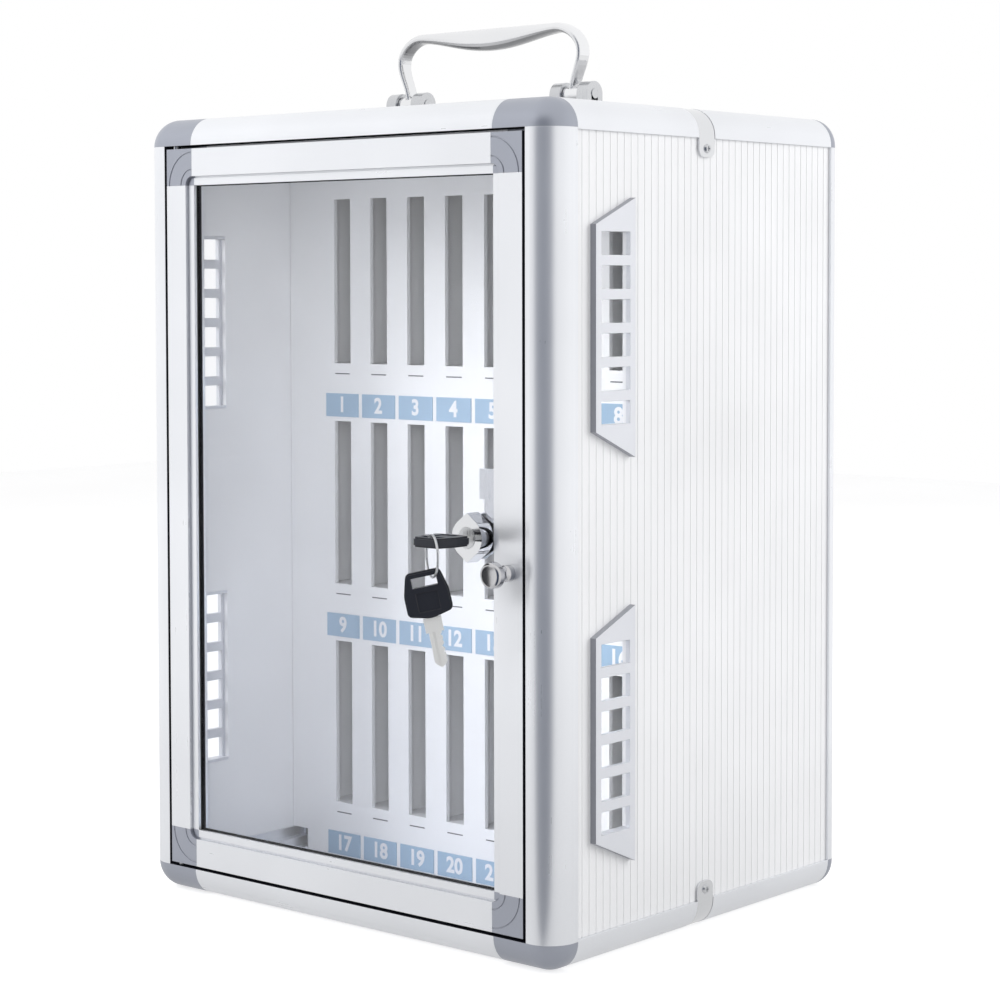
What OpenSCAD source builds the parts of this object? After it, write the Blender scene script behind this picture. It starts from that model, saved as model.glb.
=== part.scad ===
// Portable locker cabinet for pocket telephones. A case of rounded extrusions with grey corner blocks
// holds ribbed panels, a framed glass door with a cam lock, and a slotted front with numbered pockets.
// The case stands on z = 0, centred on the origin, with its door towards -y.

/* [Case] */
// Width of the case
case_w = 330; // [275:1:400]
// Depth of the case, front to back
case_d = 280; // [233:1:340]
// Height of the case without its handle
case_h = 480; // [400:1:580]
// Radius of the long outer edges at the front, top and bottom
edge_r = 17; // [12:0.5:17]
// Radius of the outer edges round the back
back_r = 8; // [6:0.5:8]

/* [Extrusions] */
// Wall of the extrusions
skin = 1.4; // [1:0.1:1.6]
// Width of a front upright seen from the front
upright_face = 20; // [18:0.5:24]
// Height of a front rail seen from the front
rail_face = 17; // [17:0.5:20]
// Depth of the hollow core behind the front faces
core_d = 15; // [14:0.5:16]
// Depth of the front grooves that take the panels
panel_grip = 6; // [5:0.5:7]
// Width of the lip that stops the door
stop_w = 6; // [5:0.5:7]
// Thickness of the lip that stops the door
stop_t = 1.6; // [1.2:0.1:1.8]
// Side of the square core of a side rail
side_core = 12; // [11:0.5:13]
// Depth of the rear extrusions along the sides
rear_leg = 10; // [10:0.5:12]
// Depth of the rear grooves that take the side panels
rear_grip = 4.5; // [4:0.5:5]
// Length of a front corner block along the front
corner_w = 43.5; // [38:0.5:50]
// Length of the plugs that go into the extrusions
plug_len = 18; // [12:1:20]
// Gap between the two lengths of a side rail
rail_gap = 15.6; // [12:0.1:20]

/* [Panels] */
// Thickness of the panels
panel_t = 3; // [2.6:0.1:3.2]
// Step from the extrusions' faces down to the panels
panel_recess = 1.6; // [1.2:0.1:2]
// Spacing of the ribs in the side and back panels
rib_pitch = 6.25; // [5:0.05:8]
// Width of the groove between two ribs
rib_groove = 1.2; // [0.8:0.1:1.6]
// Depth of the groove between two ribs
rib_depth = 0.2; // [0.1:0.1:0.6]

/* [Vents] */
// Distance from the front of the case to a vent plate
vent_front = 33.8; // [33:0.1:44]
// Width of a vent plate, front to back
vent_w = 35.4; // [30:0.1:40]
// Height of a vent plate's short front edge
vent_short = 114; // [110:1:120]
// Height of a vent plate's long rear edge
vent_long = 144.5; // [134:0.5:146]
// Distance from the ends of the case to the vent plates
vent_margin = 54; // [48:1:56]
// How far a vent plate stands off its panel
vent_rise = 4; // [3:0.1:5]
// Width of an opening in a vent plate
vent_hole_w = 25.8; // [22:0.1:27]
// Height of an opening in a vent plate
vent_hole_h = 12.9; // [11:0.1:14]
// Spacing of the openings in a vent plate
vent_pitch = 18.7; // [17:0.1:19]
// Openings in a vent plate
vent_holes = 6; // [4:1:6]

/* [Door] */
// Gap round the door
door_gap = 2; // [1.5:0.1:3]
// Thickness of the door frame
door_t = 11.8; // [11:0.1:12]
// Width of the door frame's face
door_face = 22.4; // [21:0.1:26]
// Width of the flat outer band of the door frame
band_w = 16.9; // [16:0.1:18]
// Step from the band down to the glazing bead
bead_drop = 2; // [1:0.1:2.4]
// Distance from the door's front to the glass
glass_front = 4.8; // [4.4:0.1:5]
// Thickness of the glass
glass_t = 4; // [3:0.1:4.2]
// Depth of the glass in the frame
glass_grip = 7.8; // [6:0.1:8.5]
// Distance from the door's edge to its pivots
pivot_in = 4.5; // [4:0.1:5]
// Distance from the door's front to its pivots
pivot_back = 4; // [3.6:0.1:4.4]
// Radius of a pivot pin
pivot_r = 1.75; // [1.5:0.05:2]

/* [Lock and knob] */
// Distance from the door's right stile to the lock's middle
lock_in = 13.6; // [13.2:0.1:37]
// Distance of the lock below the middle of the case
lock_drop = 2; // [-20:1:20]
// Radius of the lock's head
lock_r = 11; // [10:0.1:11.5]
// Distance from the lock's middle to the points of its head
lock_point = 13.8; // [12:0.1:15]
// Height of the lock's head off the glass
lock_head = 9.8; // [8:0.1:12]
// How far the cam reaches behind the frame's stop
cam_hold = 5; // [4:0.1:5.2]
// Distance from the door's edge to the knob
knob_in = 9.6; // [8:0.1:9.8]
// Distance of the knob below the middle of the case
knob_drop = 20; // [16:1:60]
// Radius of the knob
knob_r = 7.3; // [6:0.1:8]
// Height of the knob off the door
knob_out = 17; // [14:0.5:20]

/* [Keys] */
// Width of a key's bow next to the blade
bow_w = 25; // [24:0.5:30]
// Width of a key's bow at its outer end
bow_end_w = 20; // [20:0.5:24]
// Length of a key's bow
bow_len = 26; // [25:0.5:32]
// Thickness of a key's bow
bow_t = 5.5; // [5:0.1:6]
// Length of a key's blade in the lock
blade_len = 19.5; // [18:0.5:22]
// Inner radius of the key ring
ring_r = 10.8; // [10:0.1:12]
// Thickness of the key ring's wire
ring_wire = 1.4; // [1:0.1:1.6]
// Swing of the loose key away from straight down
spare_roll = 12; // [8:1:14]

/* [Inside] */
// Distance from the front of the case to the slotted panel
slots_back = 124.5; // [110:0.5:125]
// Spacing of the columns of slots
slot_pitch = 32.2; // [28:0.1:32.4]
// Width of a slot
slot_w = 14.6; // [10:0.1:18]
// Height of the band between two rows of slots
label_band = 37.5; // [36:0.5:42]
// Space above the top row of slots
head_space = 42.3; // [36:0.1:50]
// Space below the bottom row of slots
foot_space = 35.3; // [35:0.1:40]
// Columns of slots
columns = 8; // [4:1:8]
// Rows of slots
rows = 3; // [1:1:3]
// Thickness of the shelves and dividers
inner_t = 2; // [1.5:0.1:3]
// Width of a number label
label_w = 28.7; // [20:0.1:30]
// Height of a number label
label_h = 15; // [10:0.1:15]
// Distance from a slot down to its label
label_drop = 19.6; // [16:0.1:19.8]

/* [Handle] */
// Distance from the middle of the handle to the middle of its feet
foot_x = 67.5; // [60:0.5:80]
// Height of the handle's pivots above the case
handle_pivot = 12; // [11:0.5:13]
// Height of the grip's top above the case
grip_top = 56; // [50:0.5:64]
// Thickness of the grip at its ends
grip_end_t = 6; // [5:0.1:8]
// Thickness of the grip in the middle
grip_mid_t = 13.5; // [10:0.1:15]
// Width of the handle's strip at its feet
strip_w = 12.6; // [8:0.1:14]
// Width of the handle in the middle of the grip
grip_w = 14; // [10:0.1:16]
// Thickness of the handle's strip at its feet
strip_t = 4; // [3:0.1:5]
// Radius of the handle's pivot pins
handle_pin_r = 3; // [2.5:0.1:3.2]

/* [Hidden] */
$fn = 64;
// Clearances: panels in their grooves, plugs in the extrusions, things that turn, and things that miss
slack = 0.1;
fit_gap = 0.15;
turn_gap = 0.05;
gap = 0.3;
// Overshoot of a cut past the face it opens
over = 1;

// Extrusions, with the room and the extra wall of the hollow core of a rear one
rear_room = 4.4;
rear_wall = 1;
channel_w = panel_t + 2 * slack;
leg_t = panel_recess + channel_w + skin;
front_leg = core_d + panel_grip;
rear_core = leg_t + skin + rear_room;
rear_end = rear_core + panel_grip;
corner_h = rail_face;
block_h = side_core + panel_grip;

// Panels, measured from the faces of the case
panel_out = panel_recess + slack;
panel_in = panel_out + panel_t;
panel_side = side_core + gap;
panel_front = core_d + gap;
panel_back = rear_leg - rear_grip + gap;
panel_len = case_d - panel_front - panel_back;

// Clips over the joints of the side rails
clip_w = rail_gap - 2 * gap;
clip_inset = 0.2;
clip_t = panel_out - clip_inset;
tab_len = 11;
tab_r = 5;
tab_screw = 6;
screw_r = 1.5;
screw_head_r = 2.75;
screw_head_t = 1.2;
joiner_leg_t = 4;

// Door, measured from its outer edges
door_w = case_w - 2 * (upright_face + door_gap);
door_h = case_h - 2 * (rail_face + door_gap);
door_x = upright_face + door_gap;
door_z = rail_face + door_gap;
pocket_room = 1;
pocket_in = door_face - glass_grip - pocket_room;
gasket_t = 0.6;
gasket_show = 0.5;
bead_groove = 1;
pivot_deep = 7;
arc_groove_w = 0.8;
arc_groove_d = 0.5;
arc_big = 20;
arc_small = 9.5;

// Cross recess in a screw's head
recess_w = 0.8;
recess_share = 0.6;

// Lock, measured along the door's thickness from its front face
lock_x = case_w / 2 - door_x - door_face - lock_in;
lock_z = case_h / 2 - lock_drop;
lock_front = glass_front - lock_head;
barrel_r = 9.4;
barrel_out = 6.4;
barrel_end = glass_front + glass_t + barrel_out;
nut_flat = 22;
nut_t = 4;
plug_r = 6;
plug_proud = 0.2;
plug_front = lock_front - plug_proud;
cam_drop = 5;
cam_back = core_d + cam_drop;
cam_t = 2;
cam_w = 14;
cam_bend = 22;
cam_clear = 0.5;
cam_tip = core_d + cam_clear;
cam_len = case_w / 2 - upright_face - stop_w + cam_hold - lock_x;
cam_head_r = 5.5;
cam_head_t = 2;
cam_screw_len = 2.8;
tail = 7;
knob_x = case_w / 2 - door_x - knob_in;
knob_z = case_h / 2 - knob_drop;
knob_neck = 4.6;
knob_round = 2;
knob_rim = 3;
knob_head_r = 3.25;
waist_r = 5;
waist_z = 10;
waist_out = 1;

// Keys, measured from the blade's side of the bow
neck_w = 10;
neck_len = 8;
blade_w = 7;
blade_t = 2.2;
cut_n = 5;
cut_first = 5;
cut_last = 2;
cut_pitch = (blade_len - cut_first - cut_last) / (cut_n - 1);
cut_size = 1;
cut_step = 0.5;
cut_kinds = 3;
point_len = 3;
point_w = 1;
groove_w = 1.6;
groove_d = 0.6;
bow_round = 3;
bow_shoulder = 2;
bow_hole_w = 14;
bow_hole_h = 5.6;
bow_step = 1;
bow_inset = 0.8;
bow_dish = 0.5;
dish_rim = 1;
bow_strip = 3;
key_front = plug_front - gap - neck_len;
ring_turn = 148;
ring_side = 4;
ring_lift = 1.15;
spare_turn = 41;
spare_hook = 5;

// Inside
inner_side = 5;
inner_gap = 0.5;
inner_back = rear_leg + inner_gap;
inner_top = panel_in + gap;
row_pitch = (case_h - 2 * panel_in - head_space - foot_space + label_band) / rows;
slot_h = row_pitch - label_band;
shelf_front = slots_back + panel_t;
pocket_len = case_d - shelf_front - inner_back;
label_t = 0.6;

// Step from a vent's openings to the window behind them, and the plate's thickness round them
window_step = 2;
vent_skin = 3;

// Handle and its brackets
bracket_before = 19.5;
bracket_beyond = 20.5;
bracket_in = foot_x - bracket_before;
bracket_out = foot_x + bracket_beyond;
bracket_w = 25;
screw_edge = 2.9;
bracket_t = 1.5;
ear_beyond = 14.5;
ear_in = foot_x - ear_beyond;
ear_out = foot_x + ear_beyond;
ear_len = 8;
ear_w = 15;
ear_top = 7.5;
ear_slot = 5;
pin_proud = 0.5;
barrel_gap = 0.4;
handle_barrel_r = 5.4;
pivot_z = case_h + handle_pivot;

// Colours
white_alloy = [0.90, 0.91, 0.92];
corner_grey = [0.50, 0.51, 0.55];
panel_white = [0.93, 0.94, 0.95];
vent_grey = [0.72, 0.73, 0.76];
chrome = [0.78, 0.79, 0.80];
glass_tint = [0.55, 0.60, 0.62, 0.45];
label_blue = [0.55, 0.72, 0.90];
black = [0.06, 0.06, 0.07];

// Frames of reference

// Puts a corner's own axes, which run inwards from three faces of the case, at one of its corners
module at_corner(side, top = false, rear = false) {
    translate([side * case_w / 2, (rear ? 1 : -1) * case_d / 2, top ? case_h : 0])
        mirror([side > 0 ? 1 : 0, 0, 0])
            mirror([0, rear ? 1 : 0, 0])
                mirror([0, 0, top ? 1 : 0])
                    children();
}

// Turns a shape drawn upwards so that it runs along x, or along y
module along_x() { mirror([0, 0, 1]) rotate([0, 90, 0]) children(); }
module along_y() { mirror([0, 1, 0]) rotate([90, 0, 0]) children(); }

// Puts the door's own axes, which run inwards from its left and lower edges, in its place
module at_door() { translate([-door_w / 2, -case_d / 2, door_z]) children(); }

// Runs a shape along the door's thickness, from its axis through the lock or the knob
module at_front(x, z) { translate([x, -case_d / 2, z]) along_y() children(); }

// Sections of the extrusions

// What lies outside a rounded corner at the origin
module corner_cut(r, inset = 0) {
    difference() {
        translate([-over, -over]) square(r + over);
        translate([r, r]) circle(r - inset);
    }
}

// A rectangle with the rounded outer corner, set in from all its sides
module rounded_block(w, d, r, inset) {
    difference() {
        translate([inset, inset]) square([w - 2 * inset, d - 2 * inset]);
        corner_cut(r, inset);
    }
}

// Front upright or rail: a hollow core, a groove for a panel behind it and the lip that stops the door
module front_section(face) {
    difference() {
        union() {
            square([face, core_d]);
            translate([0, core_d - over]) square([leg_t, panel_grip + over]);
            translate([face - over, core_d - stop_t]) square([stop_w + over, stop_t]);
        }
        corner_cut(edge_r);
        rounded_block(face, core_d, edge_r, skin);
        translate([panel_recess, core_d]) square([channel_w, panel_grip + over]);
    }
}

// Side rail: a hollow core with a groove for the side panel and one for the top or bottom panel
module side_section() {
    difference() {
        union() {
            square(side_core);
            translate([0, side_core - over]) square([leg_t, panel_grip + over]);
            translate([side_core - over, 0]) square([panel_grip + over, leg_t]);
        }
        corner_cut(edge_r);
        rounded_block(side_core, side_core, edge_r, skin);
        translate([panel_recess, side_core]) square([channel_w, panel_grip + over]);
        translate([side_core, panel_recess]) square([panel_grip + over, channel_w]);
    }
}

// The hollow of a rear extrusion, drawn in by a clearance for what is plugged into it
module rear_hollow(inset = 0) {
    low = skin + rear_wall;
    translate([leg_t + inset, low + inset])
        square([rear_core - skin - leg_t - 2 * inset, rear_leg - skin - low - 2 * inset]);
}

// Rear upright or rail: a groove for a side or top panel and one for the back panel
module rear_section() {
    difference() {
        union() {
            square([rear_core, rear_leg]);
            translate([rear_core - over, 0]) square([panel_grip + over, leg_t]);
        }
        corner_cut(back_r);
        rear_hollow();
        translate([panel_recess, rear_leg - rear_grip]) square([channel_w, rear_grip + over]);
        translate([rear_core, panel_recess]) square([panel_grip + over, channel_w]);
    }
}

// The extrusions

module front_upright(side) {
    color(white_alloy) at_corner(side) translate([0, 0, rail_face])
        linear_extrude(case_h - 2 * rail_face) front_section(upright_face);
}

module front_rail(top) {
    color(white_alloy) at_corner(-1, top) translate([corner_w, 0, 0])
        along_x() linear_extrude(case_w - 2 * corner_w) front_section(rail_face);
}

module rear_upright(side) {
    color(white_alloy) at_corner(side, rear = true) translate([0, 0, rear_end])
        linear_extrude(case_h - 2 * rear_end) rear_section();
}

module rear_rail(top) {
    color(white_alloy) at_corner(-1, top, rear = true) translate([rear_end, 0, 0])
        along_x() linear_extrude(case_w - 2 * rear_end) rear_section();
}

// Four lengths of rail on one side, in front of and behind the joints at mid-depth
module side_rails(side) {
    front_len = case_d / 2 - rail_gap / 2 - front_leg;
    rear_len = case_d / 2 - rail_gap / 2 - rear_leg;
    color(white_alloy) for (top = [false, true]) {
        at_corner(side, top) translate([0, front_leg, 0])
            along_y() linear_extrude(front_len) side_section();
        at_corner(side, top, rear = true) translate([0, rear_leg, 0])
            along_y() linear_extrude(rear_len) side_section();
    }
}

// Corner blocks

// Three rounded edges that meet in a ball
module corner_block() {
    intersection() {
        cube([corner_w, front_leg, corner_h]);
        union() {
            translate([edge_r, edge_r, edge_r]) sphere(edge_r);
            translate([edge_r, edge_r, edge_r]) along_x() cylinder(r = edge_r, h = corner_w);
            translate([edge_r, edge_r, edge_r]) along_y() cylinder(r = edge_r, h = front_leg);
            translate([edge_r, edge_r, 0]) cube([corner_w, front_leg, corner_h]);
        }
    }
}

// Front corner block with its plugs, its part of the door's stop and, on the hinge side, a pivot hole
module front_corner(side, top) {
    lip_x = upright_face + stop_w;
    color(corner_grey) at_corner(side, top) difference() {
        union() {
            corner_block();
            translate([lip_x, core_d - stop_t, rail_face - over])
                cube([corner_w - lip_x, stop_t, stop_w + over]);
            translate([0, 0, rail_face - over]) linear_extrude(plug_len + over)
                rounded_block(upright_face, core_d, edge_r, skin + fit_gap);
            translate([corner_w - over, 0, 0]) along_x() linear_extrude(plug_len + over)
                rounded_block(rail_face, core_d, edge_r, skin + fit_gap);
            translate([0, front_leg - over, 0]) along_y() linear_extrude(plug_len + over)
                rounded_block(side_core, side_core, edge_r, skin + fit_gap);
        }
        translate([panel_recess, core_d, side_core])
            cube([channel_w, front_leg, corner_h]);
        translate([side_core, core_d, panel_recess])
            cube([corner_w, front_leg, channel_w]);
        if (side < 0)
            translate([door_x + pivot_in, pivot_back, rail_face - pivot_deep])
                cylinder(r = pivot_r + turn_gap, h = pivot_deep + over);
    }
}

module front_corners(side) {
    for (top = [false, true]) front_corner(side, top);
}

// One face of a rear corner block, with the rounded edge round the back
module rear_profile(len) {
    difference() {
        square([len, rear_leg]);
        corner_cut(back_r);
    }
}

// Rear corner block with its plugs: a quarter of a ring joins the rounded edges
module rear_corner(side, top) {
    color(corner_grey) at_corner(side, top, rear = true) difference() {
        union() {
            translate([edge_r, 0, edge_r]) along_y() rotate([0, 0, 180]) rotate_extrude(angle = 90)
                difference() {
                    square([edge_r, rear_leg]);
                    translate([edge_r, 0]) mirror([1, 0]) corner_cut(back_r);
                }
            translate([edge_r, 0, 0]) along_x() linear_extrude(rear_end - edge_r) rear_profile(rear_end);
            translate([0, 0, edge_r]) linear_extrude(rear_end - edge_r) rear_profile(edge_r);
            translate([0, 0, rear_end - over]) linear_extrude(plug_len + over) rear_hollow(fit_gap);
            translate([rear_end - over, 0, 0]) along_x() linear_extrude(plug_len + over)
                rear_hollow(fit_gap);
            translate([0, rear_leg - over, 0]) along_y() linear_extrude(plug_len + over)
                rounded_block(side_core, side_core, edge_r, skin + fit_gap);
        }
        translate([panel_recess, rear_leg - rear_grip, side_core])
            cube([channel_w, rear_leg, rear_end]);
        translate([side_core, rear_leg - rear_grip, panel_recess])
            cube([rear_end, rear_leg, channel_w]);
        translate([side_core, panel_recess, side_core])
            cube([rear_end, channel_w, rear_end]);
    }
}

module rear_corners() {
    for (side = [-1, 1], top = [false, true]) rear_corner(side, top);
}

// Joints of the side rails

// Core that joins two lengths of rail, with a leg behind the side panel for the clip's screw
module rail_joiner(side, top) {
    under = clip_inset + clip_t + slack;
    leg_end = edge_r + tab_len + over;
    color(corner_grey) at_corner(side, top) translate([0, case_d / 2, 0]) difference() {
        union() {
            translate([0, -clip_w / 2, 0]) along_y() linear_extrude(clip_w) difference() {
                translate([under, under]) square(side_core - under);
                corner_cut(edge_r, under);
            }
            for (y = [-clip_w / 2 - plug_len, clip_w / 2]) translate([0, y, 0])
                along_y() linear_extrude(plug_len)
                    rounded_block(side_core, side_core, edge_r, skin + fit_gap);
            translate([panel_in + slack, -clip_w / 2, side_core - over])
                cube([joiner_leg_t, clip_w, leg_end - side_core + over]);
        }
        translate([panel_in, 0, block_h + tab_screw]) along_x()
            cylinder(r = screw_r + turn_gap, h = joiner_leg_t + over);
    }
}

module rail_joiners() {
    for (side = [-1, 1], top = [false, true]) rail_joiner(side, top);
}

// Metal clip bent round the edge, with a rounded tab on the side panel
module joint_clip(side, top) {
    bend = edge_r - clip_inset;
    color(chrome) at_corner(side, top) translate([0, case_d / 2, 0]) difference() {
        union() {
            translate([0, -clip_w / 2, 0]) along_y() linear_extrude(clip_w) difference() {
                translate([clip_inset, clip_inset]) square(block_h - clip_inset);
                corner_cut(edge_r, clip_inset);
                translate([edge_r, edge_r]) circle(bend - clip_t);
                translate([side_core, panel_out]) square(edge_r);
                translate([panel_out, side_core]) square(edge_r);
            }
            translate([clip_inset, 0, 0]) along_x() linear_extrude(clip_t) tab_shape();
        }
        translate([-over, 0, block_h + tab_screw]) along_x()
            cylinder(r = screw_r + turn_gap, h = clip_t + 2 * over);
    }
}

// Rounded end of the tab, drawn across the rail
module tab_shape() {
    end = block_h + tab_len;
    translate([edge_r, -clip_w / 2]) square([end - tab_r - edge_r, clip_w]);
    translate([end - 2 * tab_r, -clip_w / 2 + tab_r]) square([2 * tab_r, clip_w - 2 * tab_r]);
    for (y = [-1, 1]) translate([end - tab_r, y * (clip_w / 2 - tab_r)]) circle(tab_r);
}

module joint_clips() {
    for (side = [-1, 1], top = [false, true]) joint_clip(side, top);
}

// Round-headed screw, with its head's underside at the origin and its shank upwards
module screw(head_r, head_t, shank_r, shank_len) {
    difference() {
        translate([0, 0, -head_t]) cylinder(r1 = head_r - head_t / 2, r2 = head_r, h = head_t);
        for (a = [0, 90]) rotate([0, 0, a]) translate([-head_r / 2, -recess_w / 2, -head_t - over])
            cube([head_r, recess_w, recess_share * head_t + over]);
    }
    translate([0, 0, -over / 2]) cylinder(r = shank_r, h = shank_len + over / 2);
}

module clip_screws() {
    color(chrome) for (side = [-1, 1], top = [false, true])
        at_corner(side, top) translate([clip_inset, case_d / 2, block_h + tab_screw])
            along_x() screw(screw_head_r, screw_head_t, screw_r, panel_in + joiner_leg_t);
}

// Panels

// Section of a ribbed sheet that lies along x, with its grooves on the lower face
module ribbed_sheet(len) {
    n = floor((len / 2 - rib_pitch) / rib_pitch);
    difference() {
        square([len, panel_t]);
        for (i = [-n:n]) translate([len / 2 + i * rib_pitch - rib_groove / 2, -over])
            square([rib_groove, rib_depth + over]);
    }
}

module side_panel(side) {
    color(panel_white) at_corner(side) difference() {
        translate([panel_out, panel_front, panel_side]) linear_extrude(case_h - 2 * panel_side)
            mirror([1, 0]) rotate([0, 0, 90]) ribbed_sheet(panel_len);
        for (top = [false, true]) translate([panel_out - over, vent_y() - window_w() / 2, vent_z(top)])
            translate([0, 0, -window_h() / 2]) cube([panel_t + 2 * over, window_w(), window_h()]);
        for (z = [block_h + tab_screw, case_h - block_h - tab_screw])
            translate([panel_out - over, case_d / 2, z]) along_x()
                cylinder(r = screw_r + turn_gap, h = panel_t + 2 * over);
    }
}

module top_panel() {
    color(panel_white) difference() {
        translate([-case_w / 2 + panel_side, -case_d / 2 + panel_front, case_h - panel_in])
            cube([case_w - 2 * panel_side, panel_len, panel_t]);
        bracket_holes() translate([0, 0, case_h - panel_in - over])
            cylinder(r = screw_r + turn_gap, h = panel_t + 2 * over);
    }
}

// The bottom board's edges lie in the grooves, and its field is thicker and level with the rails
module bottom_panel() {
    inset = block_h + gap;
    color(panel_white) {
        translate([-case_w / 2 + panel_side, -case_d / 2 + panel_front, panel_out])
            cube([case_w - 2 * panel_side, panel_len, panel_t]);
        translate([-case_w / 2 + inset, -case_d / 2 + front_leg + gap, 0])
            cube([case_w - 2 * inset, case_d - front_leg - rear_leg - 2 * gap, panel_in]);
    }
}

module back_panel() {
    color(panel_white) at_corner(-1, rear = true) translate([panel_side, panel_out, panel_side])
        linear_extrude(case_h - 2 * panel_side) ribbed_sheet(case_w - 2 * panel_side);
}

// Vents

function vent_y() = vent_front + vent_w / 2;
function vent_z(top) = top ? case_h - vent_margin - vent_long / 2 : vent_margin + vent_long / 2;
function window_h() = (vent_holes - 1) * vent_pitch + vent_hole_h + 2 * window_step;
function window_w() = vent_hole_w + 2 * window_step;

// Plate with a short front edge and a row of openings, with two tongues in the panel's window
module vent_plate() {
    collar_w = window_w() - 2 * slack;
    collar_h = window_h() - 2 * slack;
    difference() {
        union() {
            linear_extrude(vent_rise) polygon([
                [-vent_w / 2, -vent_short / 2], [vent_w / 2, -vent_long / 2],
                [vent_w / 2, vent_long / 2], [-vent_w / 2, vent_short / 2]
            ]);
            translate([-collar_w / 2, -collar_h / 2, -panel_t])
                cube([collar_w, collar_h, panel_t + over]);
        }
        translate([-window_w() / 2, -window_h() / 2 + window_step, -panel_t - over])
            cube([window_w(), window_h() - 2 * window_step, panel_t + vent_rise - vent_skin + over]);
        for (i = [0:vent_holes - 1])
            translate([-vent_hole_w / 2, (i - (vent_holes - 1) / 2) * vent_pitch - vent_hole_h / 2, -over])
                cube([vent_hole_w, vent_hole_h, vent_rise + 2 * over]);
    }
}

module vents(side) {
    color(vent_grey) for (top = [false, true])
        at_corner(side) translate([panel_out, vent_y(), vent_z(top)])
            mirror([1, 0, 0]) rotate([90, 0, 90]) vent_plate();
}

// Slotted front and the pockets behind it

function column_x(i) = (i - (columns - 1) / 2) * slot_pitch;
function slot_foot(row) = panel_in + foot_space + row * row_pitch;

module slot_panel() {
    w = case_w - 2 * inner_side;
    notch = block_h + gap;
    color(panel_white) translate([0, -case_d / 2 + slots_back, 0]) along_y() linear_extrude(panel_t)
        difference() {
            translate([-w / 2, panel_in]) square([w, case_h - 2 * panel_in - gap]);
            for (x = [-case_w / 2, case_w / 2 - notch], z = [0, case_h - notch])
                translate([x, z]) square(notch);
            for (i = [0:columns - 1], row = [0:rows - 1])
                translate([column_x(i) - slot_w / 2, slot_foot(row)]) square([slot_w, slot_h]);
        }
}

// Shelf under a row of slots, with half-laps from the back for the dividers
module shelf(row) {
    lap = inner_t + gap;
    w = case_w - 2 * inner_side;
    color(panel_white) translate([0, -case_d / 2 + shelf_front, slot_foot(row) - inner_t])
        linear_extrude(inner_t) difference() {
            translate([-w / 2, 0]) square([w, pocket_len]);
            for (i = [0:columns]) translate([column_x(i - 0.5) - lap / 2, pocket_len / 2])
                square([lap, pocket_len]);
        }
}

// Upright dividers between the columns, with half-laps from the front for the shelves
module dividers() {
    lap = inner_t + gap;
    color(panel_white) for (i = [0:columns])
        translate([column_x(i - 0.5) - inner_t / 2, -case_d / 2 + shelf_front, 0])
            along_x() linear_extrude(inner_t) difference() {
                translate([panel_in, 0]) square([case_h - panel_in - inner_top, pocket_len]);
                for (row = [0:rows - 1])
                    translate([slot_foot(row) - inner_t - gap / 2, -over])
                        square([lap, pocket_len / 2 + over]);
            }
}

module number_labels() {
    color(label_blue) for (i = [0:columns - 1], row = [0:rows - 1])
        translate([column_x(i) - label_w / 2, -case_d / 2 + slots_back - label_t,
                slot_foot(row) - label_drop - label_h])
            cube([label_w, label_t, label_h]);
}

// Door

// Stile or rail of the door: a hollow band, a groove, the glazing bead and the pocket for the glass
module door_section() {
    difference() {
        square([door_face, door_t]);
        translate([band_w, -over]) square([bead_groove, bead_drop + bead_groove + over]);
        translate([band_w, -over]) square([door_face, bead_drop + over]);
        translate([skin, skin]) square([pocket_in - 2 * skin, door_t - 2 * skin]);
        glass_pocket();
    }
}

// The pocket that takes the glass and its gasket
module glass_pocket() {
    translate([pocket_in, glass_front - gasket_t - slack])
        square([door_face, glass_t + 2 * (gasket_t + slack)]);
}

module door_stile(right) {
    color(white_alloy) difference() {
        at_door() translate([right ? door_w : 0, 0, door_face]) mirror([right ? 1 : 0, 0, 0])
            linear_extrude(door_h - 2 * door_face) door_section();
        if (right) at_front(knob_x, knob_z) translate([0, 0, -over])
            cylinder(r = screw_r + turn_gap, h = door_t + 2 * over);
    }
}

module door_rail(top) {
    color(white_alloy) at_door() translate([door_face, 0, top ? door_h : 0])
        mirror([0, 0, top ? 1 : 0]) along_x() linear_extrude(door_w - 2 * door_face) door_section();
}

// Corner of the door, drawn inwards from its outer corner, with arcs about its inner corner
module door_corner(hinged) {
    plug_w = pocket_in - 2 * (skin + fit_gap);
    plug_t = door_t - 2 * (skin + fit_gap);
    difference() {
        union() {
            cube([door_face, door_t, door_face]);
            translate([skin + fit_gap, skin + fit_gap, door_face - over]) cube([plug_w, plug_t, plug_len]);
            translate([door_face - over, skin + fit_gap, skin + fit_gap]) cube([plug_len, plug_t, plug_w]);
        }
        translate([pocket_in, glass_front - gasket_t - slack, pocket_in])
            cube([door_face, glass_t + 2 * (gasket_t + slack), door_face]);
        translate([door_face, 0, door_face]) along_y() {
            bead_r = door_face - band_w;
            translate([0, 0, -over]) cylinder(r = bead_r, h = bead_drop + over);
            arc_groove(bead_r - bead_groove / 2, bead_groove, bead_drop + bead_groove);
            arc_groove(arc_big, arc_groove_w, arc_groove_d);
            arc_groove(arc_small, arc_groove_w, arc_groove_d);
        }
        if (hinged) translate([pivot_in, pivot_back, -over])
            cylinder(r = pivot_r + turn_gap, h = pivot_deep + over);
    }
}

// Ring-shaped groove in a face, about the axis it is drawn on
module arc_groove(r, w, deep) {
    translate([0, 0, -over]) difference() {
        cylinder(r = r + w / 2, h = deep + over);
        translate([0, 0, -over]) cylinder(r = r - w / 2, h = deep + 3 * over);
    }
}

module door_corners(right) {
    color(corner_grey) at_door() translate([right ? door_w : 0, 0, 0]) mirror([right ? 1 : 0, 0, 0])
        for (top = [false, true]) translate([0, 0, top ? door_h : 0]) mirror([0, 0, top ? 1 : 0])
            door_corner(!right);
}

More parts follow.
